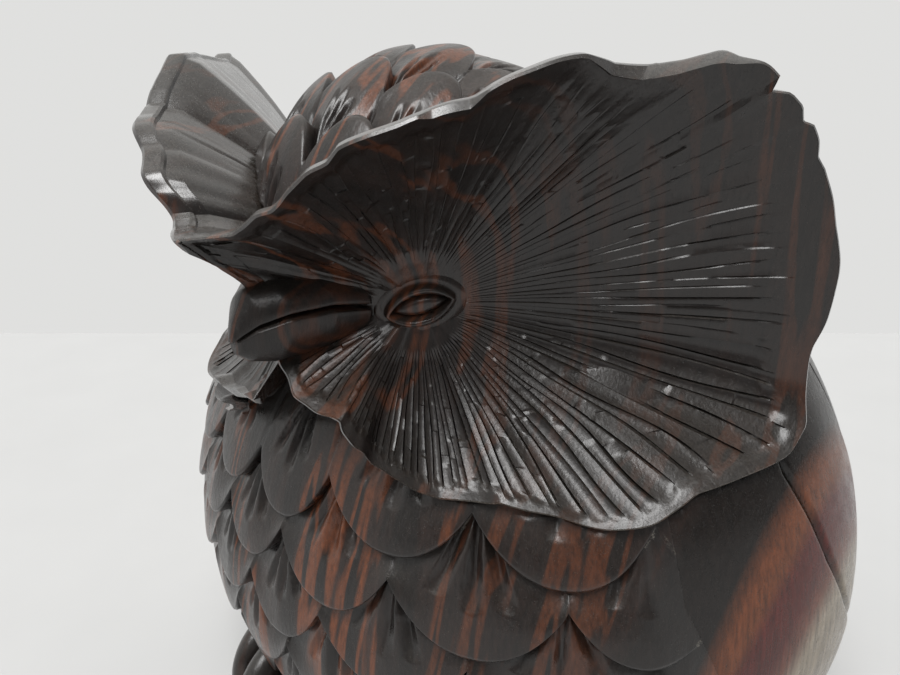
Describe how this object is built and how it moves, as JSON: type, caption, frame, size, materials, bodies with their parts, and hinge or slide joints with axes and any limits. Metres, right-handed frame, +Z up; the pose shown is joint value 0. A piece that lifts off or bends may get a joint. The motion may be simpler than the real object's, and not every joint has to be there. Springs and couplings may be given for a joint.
{
  "type": "carved wooden owl figurine",
  "caption": "Round carved hardwood owl with two frilled dish-shaped facial discs, short beak, overlapping scale feathers, folded wings and feet, standing on a flat base.",
  "frame": {"origin": "centre of the bounding box on the resting plane, under the owl's body", "axes": "the owl faces -Y, its left wing is towards +X, +Z up"},
  "size_m": [0.1284, 0.1152, 0.126],
  "materials": {
    "dark_ebony": "tooled, waxed, semi-gloss",
    "striped_ebony": "carved and waxed, semi-gloss, black and orange-brown stripes",
    "brown_heartwood": "carved, satin",
    "polished_striped_wood": "smooth, polished, dark red-brown with a pale sapwood streak"
  },
  "bodies": {
    "root": {"back": "striped_ebony", "breast_feathers_1": "striped_ebony", "breast_feathers_2": "striped_ebony", "breast_feathers_3": "striped_ebony", "breast_feathers_4": "striped_ebony", "breast_feathers_5": "striped_ebony", "crown_feathers_1": "striped_ebony", "crown_feathers_2": "striped_ebony", "crown_feathers_3": "striped_ebony", "crown_feathers_4": "striped_ebony", "crown_feathers_5": "striped_ebony", "eyeball_left": "dark_ebony", "eyeball_right": "dark_ebony", "eyelids_left": "brown_heartwood", "eyelids_right": "brown_heartwood", "facial_disc_left": "dark_ebony", "facial_disc_right": "dark_ebony", "flight_feather_1_left": "polished_striped_wood", "flight_feather_1_right": "polished_striped_wood", "flight_feather_2_left": "polished_striped_wood", "flight_feather_2_right": "polished_striped_wood", "flight_feather_3_left": "polished_striped_wood", "flight_feather_3_right": "polished_striped_wood", "foot_left": "dark_ebony", "foot_right": "dark_ebony", "head": "dark_ebony", "lower_beak": "brown_heartwood", "nape_feathers_1": "striped_ebony", "nape_feathers_2": "striped_ebony", "tail": "striped_ebony", "torso": "dark_ebony", "upper_beak": "brown_heartwood", "wing_coverts_left": "polished_striped_wood", "wing_coverts_right": "polished_striped_wood"}
  },
  "joints": []
}
